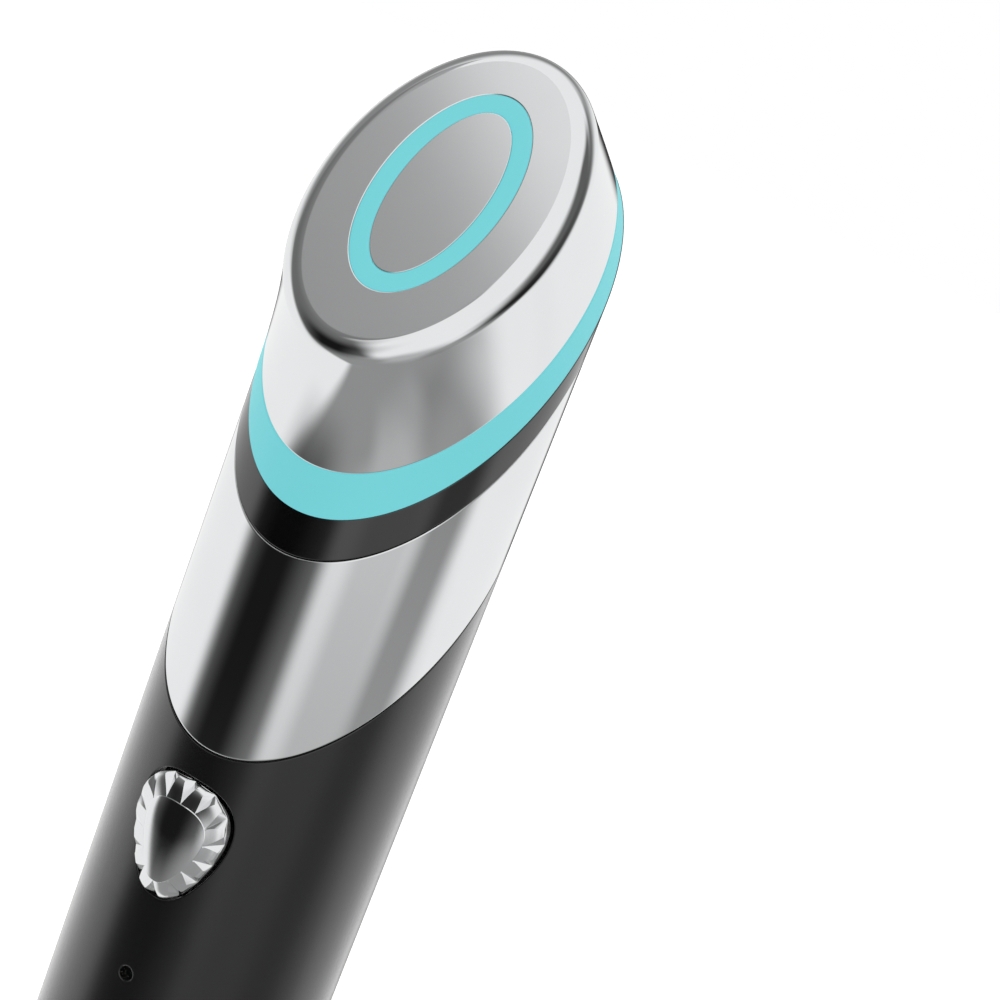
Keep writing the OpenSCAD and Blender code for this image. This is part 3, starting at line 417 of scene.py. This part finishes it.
# Open-cell polyurethane foam with pores of 0.3 mm.
foam, tree, shader = surface("open_cell_grey_foam", "505050", IOR=1.5)
grain(tree, shader, 0.3 * MM, 0.12 * MM, (0.85, 0.95))
mottle(tree, shader, 0.3 * MM, "3c3c3c", "5a5a5a")
dress(foam, "battery_pads")

# Main board
# The long circuit board behind the tube's front. Parts moulded in epoxy, the switch and the small lights are
# soldered to it, and steel screws hold it to the chassis.
dress(board, "main_board")
# Moulded epoxy: matt charcoal with a fine sparkle of filler.
epoxy, tree, shader = surface("moulded_black_epoxy", "3f3f3f", IOR=1.55)
grain(tree, shader, 0.06 * MM, 0.002 * MM, (0.45, 0.6))
mottle(tree, shader, 0.5 * MM, "393939", "444444")
dress(epoxy, "board_parts")
dress(steel, "board_screws")

# Status and level lights
# Light-emitting chips under yellow phosphor, with clear polycarbonate lenses that carry their light out to
# the dot and the three windows in the tube. They are off here, so the lenses look dark.
phosphor, tree, shader = surface("yellow_phosphor_chip", "f7f3da", IOR=1.5)
grain(tree, shader, 0.04 * MM, 0.002 * MM, (0.5, 0.7))
mottle(tree, shader, 0.3 * MM, "f4ecc0", "faf6e2")
dress(phosphor, "status_source", "level_sources")
# Polycarbonate from a polished tool: clear and cool, with a nearly smooth skin.
lens, tree, shader = surface("clear_moulded_polycarbonate", "c8d2d5", IOR=1.58, Transmission_Weight=1.0)
grain(tree, shader, 0.5 * MM, 0.0005 * MM, (0.04, 0.09))
mottle(tree, shader, 2 * MM, "c2cccf", "d0d9dc")
dress(lens, "status_lens", "level_light_pipe")

# Switch
# A tact switch, soldered to the board. Its moulded body holds a stamped steel snap dome, and the plunger on
# the dome is what the button pushes.
dress(epoxy, "switch_body", "switch_plunger")
dress(steel, "switch_dome")

# Gem button
# A zinc casting, polished and chrome plated: a low dome set in a border of lobes with V grooves between. A
# flange behind the tube's wall holds it in a nylon guide, and it slides straight in.
# The border's grooves are counted in steps from one to the next: groove_tip is half a groove's width at the
# dome, and groove_spread what it gains on the way to the rim. Each has half_steps columns on either side.
groove_count, half_steps = 14, 6
groove_tip, groove_spread = 0.015, 0.33
even_groove = 0.25
front_plane = 14.5 * MM
dome_half, dome_lean, dome_drop = np.array([3.36, 4.4]) * MM, 0.4, 0.2 * MM
dome_radius, dome_fall, dome_step = 16.2 * MM, 0.3 * MM, 0.06 * MM
dome_inset = 0.985
roll_depth = 0.25 * MM
lobe_fall, notch_depth = 0.58 * MM, 0.25 * MM
ledge_height, ledge_width = 0.1 * MM, 0.03 * MM
flange_half, flange_rise = np.array([5.5, 7.08]) * MM, 0.2 * MM
flange_front, flange_back = 10.8 * MM, 10.02 * MM
nub_radius, nub_back = 2 * MM, 9.75 * MM
gem_sharp = 22
dome_shares = np.append(0.002, np.linspace(0, 1, 22)[1:] ** 0.8)
border_ways = 1 - (1 - np.linspace(0, 1, 30)) ** 1.5

# The way round the dome at finely spaced turns, in grooves, so that the grooves lie evenly along it.
fine_turns = np.linspace(0, 2 * np.pi, 2881)
fine_lengths = np.linalg.norm(np.diff(egg(fine_turns, dome_half, dome_lean), axis=0), axis=1)
fine_way = np.append(0, np.cumsum(fine_lengths))
fine_way *= groove_count / fine_way[-1]
step_number = np.arange(-2 * half_steps, 2 * half_steps)
groove_share = np.abs(step_number) / half_steps
lobe_share = np.clip(groove_share - 1, 0, 1)
in_groove = np.tile(np.clip(groove_share, 0, 1), groove_count)


def outline_turns(half_groove):
    """Turns of the columns: those of a groove keep to its width, and the rest share the lobe evenly."""
    way = np.where(groove_share <= 1, half_groove * groove_share,
                   half_groove + (0.5 - half_groove) * lobe_share) * np.sign(step_number)
    way = (np.arange(groove_count)[:, None] + way).ravel() % groove_count
    return np.interp(way, fine_way, fine_turns)


def gem_row(flat, height):
    """Points of one row from their place on the outline and their height over the front plane."""
    height = np.broadcast_to(height, len(flat))
    return np.stack([flat[:, 0], -(front_plane + height), flat[:, 1] + button_height], axis=-1)


def on_dome(t, share):
    """The dome's egg outline at a share of its size, lowered by its drop."""
    return share * egg(t, dome_half, dome_lean) - np.array([0, dome_drop])


def dome_height(t, share):
    """The dome follows a cylinder round the tube's axis, less a fall that grows with the share squared.

    Its left edge is rolled off further, by the roll times share^8 sin(t)^2.
    """
    roll = roll_depth * share ** 8 * np.clip(-np.sin(t), 0, 1) ** 2
    return (np.sqrt(dome_radius ** 2 - on_dome(t, share)[:, 0] ** 2) - front_plane
            - dome_fall * share ** 2 - roll)


def on_rim(t, grow=0.0):
    """The button's egg outline, grown by a margin."""
    return egg(t, button_half + grow, button_lean)


def fan(row, middle):
    """Quads that close a row over its middle point, each across two steps of the row."""
    return np.stack([np.full(len(row) // 2, middle), row[::2], row[1::2], np.roll(row, -2)[::2]], axis=-1)


def capped_solid(name, rows, **options):
    """A closed solid from rows of points round it, with the first and the last row closed by fans."""
    index = np.arange(rows[..., 0].size).reshape(rows.shape[:2])
    points = np.concatenate([rows.reshape(-1, 3), rows[[0, -1]].mean(axis=1)])
    quads = np.concatenate([grid_quads(index).reshape(-1, 4), fan(index[0, ::-1], index.size),
                            fan(index[-1], index.size + 1)])
    return build(name, points, quads, **options)


# The dome's columns are even at its middle and move to the grooves' tips at its edge, by share^4.
gem_rows = []
even_turns = outline_turns(even_groove)
tip_shift = (outline_turns(groove_tip) - even_turns + np.pi) % (2 * np.pi) - np.pi
for share in dome_shares:
    t = even_turns + tip_shift * share ** 4
    gem_rows.append(gem_row(on_dome(t, share * dome_inset), dome_height(t, share)))
# A lobe falls away from the dome and rounds down to the ledge by (1 - way^8)^0.5. A groove's valley runs
# straight from the dome to a notch in the ledge.
for way in border_ways:
    t = outline_turns(groove_tip + groove_spread * way)
    dome_edge, inner = on_dome(t, 1), dome_height(t, 1) - dome_step
    lobe = ledge_height + (inner - lobe_fall * way - ledge_height) * (1 - way ** 8) ** 0.5
    valley = np.minimum(inner + (ledge_height - notch_depth - inner) * way, lobe)
    flat = dome_edge + (on_rim(t, -ledge_width) - dome_edge) * way
    gem_rows.append(gem_row(flat, valley + (lobe - valley) * in_groove))
# The notched rim is rounded, the skirt runs straight in to the flange, and the nub behind meets the switch.
rim_turns = outline_turns(groove_tip + groove_spread)
rim_height = ledge_height - notch_depth * (1 - in_groove)
for near, below in zip(short[:, 0], inward[:, 0]):
    gem_rows.append(gem_row(on_rim(rim_turns, -edge_round * near), rim_height - edge_round * below))
flange = egg(rim_turns, flange_half, button_lean) + np.array([0, flange_rise])
nub = circle(rim_turns, nub_radius) + np.array([0, flange_rise])
for outline, from_axis in [(on_rim(rim_turns), flange_front), (flange, flange_front), (flange, flange_back),
                           (nub, flange_back), (nub, nub_back)]:
    gem_rows.append(gem_row(outline, from_axis - front_plane))
gem = capped_solid("gem_button", np.stack(gem_rows), sharp=gem_sharp)
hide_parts("button_cap")
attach(gem, "button")
# Chrome plate over a polished casting: mirror bright, the facets a little less flat than machined ones.
gem_chrome, tree, shader = surface("polished_chrome_casting", "e6e7e8", Metallic=1.0)
grain(tree, shader, 0.4 * MM, 0.0012 * MM, (0.05, 0.1))
mottle(tree, shader, 2 * MM, "e3e4e5", "e9eaeb")
gem.data.materials.append(gem_chrome)
dress(black_nylon, "button_guide")

# Neck core
# The neck, moulded of glass-filled grey nylon, carries the sleeve, the band, the ring and the head. Two
# steel screws hold it to the chassis.
dress(grey_nylon, "neck_core")
dress(steel, "neck_screws")

# Chrome sleeve
# A turned brass ring, polished and chrome plated, with both ends cut to the same slant. It is clamped on the
# neck over the tube, and a gold-plated contact feeds it from inside.
sleeve_low, sleeve_high = 122.4 * MM, 144.7 * MM
sleeve_steps = 12


def ring_solid(name, rows, **options):
    """A closed solid from rows of points round it, the last row joined to the first."""
    points = np.concatenate(rows)
    index = np.arange(points[..., 0].size).reshape(points.shape[:2])
    return build(name, points, grid_quads(index, wrap_rows=True), **options)


def slanted_ring(name, low, high):
    """A slice of the tapered wall between two slanted planes, rounded at its outer edges.

    Rows run up the outside, over the top edge, down the bore and back under the bottom edge.
    """
    low_line, high_line = slant_height(low, turns), slant_height(high, turns)
    share = shares(sleeve_steps)[:, None]
    outside = low_line + edge_round + (high_line - low_line - 2 * edge_round) * share
    return ring_solid(name, [
        polar(body_radius(outside), turns, outside),
        polar(body_radius(high_line) - edge_round * inward[1:], turns, high_line - edge_round * short[1:]),
        polar(bore, turns, np.stack([high_line, low_line])),
        polar(body_radius(low_line) - edge_round * inward[:0:-1], turns,
              low_line + edge_round * short[:0:-1])])


sleeve = slanted_ring("sleeve", sleeve_low, sleeve_high)
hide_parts("chrome_sleeve")
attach(sleeve, "wand")
# Bright chrome plate: a clean mirror with a trace of polishing haze.
chrome, tree, shader = surface("polished_chrome_plate", "e6e7e8", Metallic=1.0)
grain(tree, shader, 0.6 * MM, 0.0002 * MM, (0.02, 0.04))
mottle(tree, shader, 8 * MM, "e4e5e6", "e8e9ea")
sleeve.data.materials.append(chrome)
# Gold over nickel on a turned contact: warm and smooth.
gold, tree, shader = surface("gold_plated_contact", "edd795", Metallic=1.0)
grain(tree, shader, 0.05 * MM, 0.0006 * MM, (0.15, 0.22))
mottle(tree, shader, 1 * MM, "ebd38d", "efda9b")
dress(gold, "sleeve_contact")

# Black band
# A ring of black nylon, moulded in a polished tool. It is clamped between the sleeve and the light ring, and
# insulates the sleeve from the head.
band_low, band_high = 144.8 * MM, 149.3 * MM
band = slanted_ring("band", band_low, band_high)
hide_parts("black_band")
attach(band, "wand")
# Nylon with a polished skin: deep black with a clear reflection.
gloss_black, tree, shader = surface("gloss_black_nylon", "0c0c0d", IOR=1.8)
grain(tree, shader, 0.8 * MM, 0.0008 * MM, (0.07, 0.12))
mottle(tree, shader, 4 * MM, "0b0b0c", "0e0e0f")
band.data.materials.append(gloss_black)

# Light ring
# A light guide of diffusing polycarbonate, moulded in one piece and clamped under the head. Chips on a board
# inside light it, so that it glows teal all round.
# The head's sides stand on the tube's slanted cut. Their sizes are half widths, and places up the slope.
head_columns = 360
face_height, face_half_width = 15.151 * MM, 12.765 * MM
face_back, face_front = 23.614 * MM, -13.28 * MM
front_hollow = 1.52 * MM
cut_half = np.array([15, 24.36]) * MM
ring_thickness, ring_wall = 3.4 * MM, 2.2 * MM
ring_steps = 10
around = np.radians(np.arange(head_columns) * 360 / head_columns)
up_slope = np.array([0, np.cos(cut_tilt), np.sin(cut_tilt)])
out_of_cut = np.array([0, -np.sin(cut_tilt), np.cos(cut_tilt)])


def over_cut(across, up, out):
    """Points from the slanted cut's own measures: across, up the slope and square to the cut."""
    across, up, out = np.broadcast_arrays(across, up, out)
    return (across[..., None] * np.array([1, 0, 0]) + up[..., None] * up_slope + out[..., None] * out_of_cut
            + np.array([0, 0, joint_height]))


def ellipse(half_width, half_length, shift, out):
    """An ellipse in a plane along the cut: half width cos(a) across, shift + half length sin(a) up."""
    return over_cut(half_width * np.cos(around), shift + half_length * np.sin(around), out)


def head_side(out, inset=0):
    """The head's side at heights over the cut: ellipses from the tube's cut to the face.

    With f = height / face height, the half width and the back run straight in f, and the front edge runs
    straight too but is hollowed by 4 f (1 - f) times the hollow.
    """
    f = out / face_height
    half_width = cut_half[0] + (face_half_width - cut_half[0]) * f
    back = cut_half[1] + (face_back - cut_half[1]) * f
    front_edge = -cut_half[1] + (face_front + cut_half[1]) * f + front_hollow * 4 * f * (1 - f)
    return ellipse(half_width - inset, (back - front_edge) / 2 - inset, (back + front_edge) / 2, out)


ring_heights = (edge_round + (ring_thickness - 2 * edge_round) * shares(ring_steps))[:, None]
ring = ring_solid("ring", [
    head_side(ring_heights),
    head_side(ring_thickness - edge_round * short[1:], edge_round * inward[1:]),
    head_side(np.array([[ring_thickness], [0]]), ring_wall),
    head_side(edge_round * short[:0:-1], edge_round * inward[:0:-1])])
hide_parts("light_ring")
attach(ring, "wand")
# Diffusing polycarbonate, lit from inside: an even teal glow, faintly cloudy over 6 mm.
teal, tree, shader = surface("lit_teal_light_guide", "498285", IOR=1.45, Emission_Strength=0.77,
                             Emission_Color=linear("71d1d8"))
grain(tree, shader, 0.2 * MM, 0.001 * MM, (0.45, 0.55))
mottle(tree, shader, 6 * MM, "478083", "4b8487")
ring.data.materials.append(teal)
dress(board, "ring_light_board")
dress(phosphor, "ring_sources")
dress(insulation, "ring_leads")

# Head shell
# A cast and polished zinc shell, chrome plated. Its sides lean in to the slanted oval face, whose edge is
# rounded and polished, and whose flat is blasted satin round the opening for the light.
shell_wall = 1.25 * MM
shell_low = ring_thickness + 0.1 * MM
fillet, fillet_steps, fillet_rounds = 2.36 * MM, 25, 8
face_shift = 5.5 * MM
oval_outer = np.array([6.67, 11.95]) * MM
oval_inner = np.array([4.74, 9.85]) * MM
side_steps, face_steps = 48, 10
slope_step = 0.01 * MM
head_sharp = 50


def side_normal(out):
    """Unit normal of the head's side, from the cross product of its directions around and up."""
    points = head_side(out)
    along = np.roll(points, -1, 0) - np.roll(points, 1, 0)
    normal = np.cross(along, head_side(out + slope_step) - head_side(out - slope_step))
    return normal / np.linalg.norm(normal, axis=-1, keepdims=True)


def oval(half, depth):
    """Rows of ovals in the face, from their half sizes and their depths under it."""
    half = np.atleast_2d(half)
    return ellipse(half[:, :1], half[:, 1:], face_shift, face_height - np.reshape(depth, (-1, 1)))


# A ball of the fillet's radius rolls inside the corner: it touches the face and the side, and the side's
# contact height follows from the slope there, so it is worked out in a few rounds.
contact = np.full(head_columns, face_height - fillet)
for _ in range(fillet_rounds):
    contact = face_height - fillet * (1 - side_normal(contact) @ out_of_cut)
normal = side_normal(contact)
ball = head_side(contact) - fillet * normal
lean = np.arcsin(normal @ out_of_cut)
level = normal - (normal @ out_of_cut)[:, None] * out_of_cut
level /= np.linalg.norm(level, axis=-1, keepdims=True)
roll = lean + (np.pi / 2 - lean) * np.linspace(0, 1, fillet_steps)[1:, None]
fillet_rows = ball + fillet * (np.cos(roll)[..., None] * level + np.sin(roll)[..., None] * out_of_cut)
side_low = shell_low + edge_round
side_rows = head_side(side_low + (contact - side_low) * shares(side_steps)[:, None])
face_share = shares(face_steps)[1:, None, None]
face_rows = fillet_rows[-1] + (oval(oval_outer + edge_round, 0) - fillet_rows[-1]) * face_share
head_rows = [
    side_rows, fillet_rows, face_rows,
    oval(oval_outer + edge_round * short[1:], edge_round * inward[1:]),
    oval(oval_outer, shell_wall),
    head_side(np.array([[face_height - shell_wall], [shell_low]]), shell_wall),
    head_side(shell_low + edge_round * short[:0:-1], edge_round * inward[:0:-1])]
flat_row = len(side_rows) + len(fillet_rows) - 1
head_slots = np.zeros((sum(len(rows) for rows in head_rows), head_columns))
head_slots[flat_row:flat_row + len(face_rows)] = 1
head = ring_solid("head", head_rows, slots=head_slots, sharp=head_sharp)
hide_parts("head_shell")
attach(head, "wand")
# Chrome plate over a finely blasted face: pale grey satin without a clear reflection. The grit is 0.06 mm.
satin, tree, shader = surface("blasted_chrome_plate", "e0e1e2", Metallic=1.0)
grain(tree, shader, 0.06 * MM, 0.00006 * MM, (0.1, 0.12))
mottle(tree, shader, 5 * MM, "dedfe0", "e2e3e4")
head.data.materials.append(chrome)
head.data.materials.append(satin)
dress(steel, "head_screws")
dress(gold, "shell_contacts")

# Oval light
# An oval band of the same moulded light guide, set flush in the face. Chips on a board behind it light it,
# and a white reflector throws their light forward.
oval_depth, oval_round, oval_gap = 1.2 * MM, 0.06 * MM, 0.03 * MM
oval_share = np.linspace(0, 1, 5)[1:-1, None]
outer_edge, inner_edge = oval_outer - oval_gap, oval_inner + oval_gap
oval_light = ring_solid("oval_light", [
    oval(outer_edge, [oval_depth, oval_round]),
    oval(outer_edge - oval_round * inward[1:], oval_round * short[1:]),
    oval(outer_edge + (inner_edge - outer_edge) * oval_share, 0),
    oval(inner_edge + oval_round * short, oval_round * inward),
    oval(inner_edge, oval_depth)])
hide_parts("face_light_oval")
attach(oval_light, "wand")
oval_light.data.materials.append(teal)
# Polycarbonate loaded with white pigment, which throws the light of the chips back into the guide.
white_reflector, tree, shader = surface("white_filled_polycarbonate", "f3f3f3", IOR=1.58)
grain(tree, shader, 0.1 * MM, 0.002 * MM, (0.5, 0.65))
mottle(tree, shader, 2 * MM, "efefee", "f6f6f5")
dress(white_reflector, "face_reflector")
dress(board, "face_board")
dress(phosphor, "face_sources")

# Centre plate
# The oval electrode in the middle of the light, of the same blasted plate as the face. A gold-plated contact
# behind it feeds it, and a flat cable runs from the head to the main board.
plate_half = oval_inner - oval_gap
plate_steps = 14
plate = capped_solid("plate", np.concatenate([
    oval(plate_half, [oval_depth, oval_round]),
    oval(plate_half - oval_round * inward[1:], oval_round * short[1:]),
    oval((plate_half - oval_round) * shares(plate_steps)[-2:0:-1, None], 0)]))
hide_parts("centre_plate")
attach(plate, "wand")
plate.data.materials.append(satin)
dress(gold, "centre_contact")
# Copper tracks between amber polyimide films: glossy, and darker in patches where the copper shows through.
flex, tree, shader = surface("amber_polyimide_flex", "daae59", IOR=1.7)
grain(tree, shader, 0.5 * MM, 0.002 * MM, (0.2, 0.3))
mottle(tree, shader, 0.6 * MM, "c9963f", "e2b965")
dress(flex, "head_flex")

# Studio
# A white sweep with soft grey and black flags, which draw the dark bands in the chrome. Each flag is a panel
# with its middle at an azimuth from the front and a height over the horizon, in degrees. It has a half width
# and half height, a blur at its borders, and a lean that moves it sideways for each degree up.
flags = {
    "grey_floor": dict(middle=(57, -54), half=(86, 28), soft=(10, 14), lean=-0.9, level=0.33),
    "floor_glow": dict(middle=(51, -31), half=(20, 13), soft=(8, 13), lean=-0.1, level=0.51),
    "rear_wall": dict(middle=(-121, 30), half=(61, 20), soft=(25, 12), lean=-1.3, level=0.28),
    "left_wall": dict(middle=(-55, 46), half=(28, 7), soft=(3, 0.6), lean=-0.1, level=0.4),
    "left_wall_core": dict(middle=(-55, 31), half=(28, 16.5), soft=(3, 3), lean=-0.1, level=0.23),
    "left_flag": dict(middle=(-35, 3), half=(34, 34), soft=(8, 11), lean=-0.5, level=0.17),
    "left_flag_core": dict(middle=(-26, -13), half=(25, 25), soft=(18, 17), lean=0.1, level=0.01),
    "right_wall": dict(middle=(133, 37), half=(25, 22), soft=(29, 8), lean=1.3, level=0.17),
    "right_flag": dict(middle=(109, 30), half=(26, 38), soft=(15, 7), lean=0.2, level=0.13),
    "right_flag_core": dict(middle=(103, -3), half=(16, 22), soft=(9, 28), lean=0.8, level=0.01),
    "back_flag": dict(middle=(-158, -20), half=(14, 30), soft=(6, 10), lean=0.2, level=0.05)}
sweep_level = 0.985
world = bpy.data.worlds.new("studio")
bpy.context.scene.world = world
world.use_nodes = True
tree = world.node_tree
place = add(tree, "ShaderNodeTexCoord").outputs["Generated"]
ray = add(tree, "ShaderNodeSeparateXYZ", {"Vector": place}).outputs
ahead = add(tree, "ShaderNodeMath", {0: ray["Y"], 1: -1}, operation="MULTIPLY").outputs[0]
heading = add(tree, "ShaderNodeMath", {0: ray["X"], 1: ahead}, operation="ARCTAN2").outputs[0]
climb = add(tree, "ShaderNodeMath", {0: ray["Z"]}, operation="ARCSINE").outputs[0]
azimuth = add(tree, "ShaderNodeMath", {0: heading}, operation="DEGREES").outputs[0]
elevation = add(tree, "ShaderNodeMath", {0: climb}, operation="DEGREES").outputs[0]
light = sweep_level
for flag in flags.values():
    rise = add(tree, "ShaderNodeMath", {0: elevation, 1: flag["middle"][1]}, operation="SUBTRACT").outputs[0]
    centre = add(tree, "ShaderNodeMath", {0: rise, 1: flag["lean"], 2: flag["middle"][0]},
                 operation="MULTIPLY_ADD").outputs[0]
    turned = add(tree, "ShaderNodeMath", {0: azimuth, 1: centre}, operation="SUBTRACT").outputs[0]
    side = add(tree, "ShaderNodeMath", {0: turned, 1: 180, 2: -180}, operation="WRAP").outputs[0]
    cover = 1
    for off, half, soft in zip((side, rise), flag["half"], flag["soft"]):
        reach = add(tree, "ShaderNodeMath", {0: off}, operation="ABSOLUTE").outputs[0]
        edge = add(tree, "ShaderNodeMapRange", {
            "Value": reach, "From Min": half - soft, "From Max": half + soft, "To Min": 1, "To Max": 0},
            interpolation_type="SMOOTHSTEP").outputs["Result"]
        cover = add(tree, "ShaderNodeMath", {0: cover, 1: edge}, operation="MULTIPLY").outputs[0]
    light = add(tree, "ShaderNodeMix", {"Factor": cover, "A": light, "B": flag["level"]}).outputs["Result"]
# The camera and clear plastic see the bare white sweep.
path = add(tree, "ShaderNodeLightPath").outputs
bare = add(tree, "ShaderNodeMath", {0: path["Is Camera Ray"], 1: path["Is Transmission Ray"]},
           operation="MAXIMUM").outputs[0]
seen = add(tree, "ShaderNodeMix", {"Factor": bare, "A": light, "B": 1}).outputs["Result"]
tree.links.new(seen, tree.nodes["Background"].inputs["Color"])
tree.nodes["Background"].inputs["Strength"].default_value = 1
bpy.context.scene.view_settings.view_transform = "Standard"

# Floor
# Plain white paper that the wand stands on. It keeps a soft shadow, and the chrome mirrors the studio alone.
# For the camera it glows a little, so that it shows as white as the sweep.
floor_half = 800 * MM
paper_glow = 0.6
corners = np.array([[-1, -1, 0], [1, -1, 0], [1, 1, 0], [-1, 1, 0]]) * floor_half
floor = build("floor", corners, np.arange(4))
floor.visible_glossy = False
paper, tree, shader = surface("white_paper_sweep", "f2f2f1", Roughness=0.9, Emission_Color=linear("ffffff"))
path = add(tree, "ShaderNodeLightPath").outputs
glow = add(tree, "ShaderNodeMath", {0: path["Is Camera Ray"], 1: paper_glow},
           operation="MULTIPLY").outputs[0]
tree.links.new(glow, shader.inputs["Emission Strength"])
floor.data.materials.append(paper)
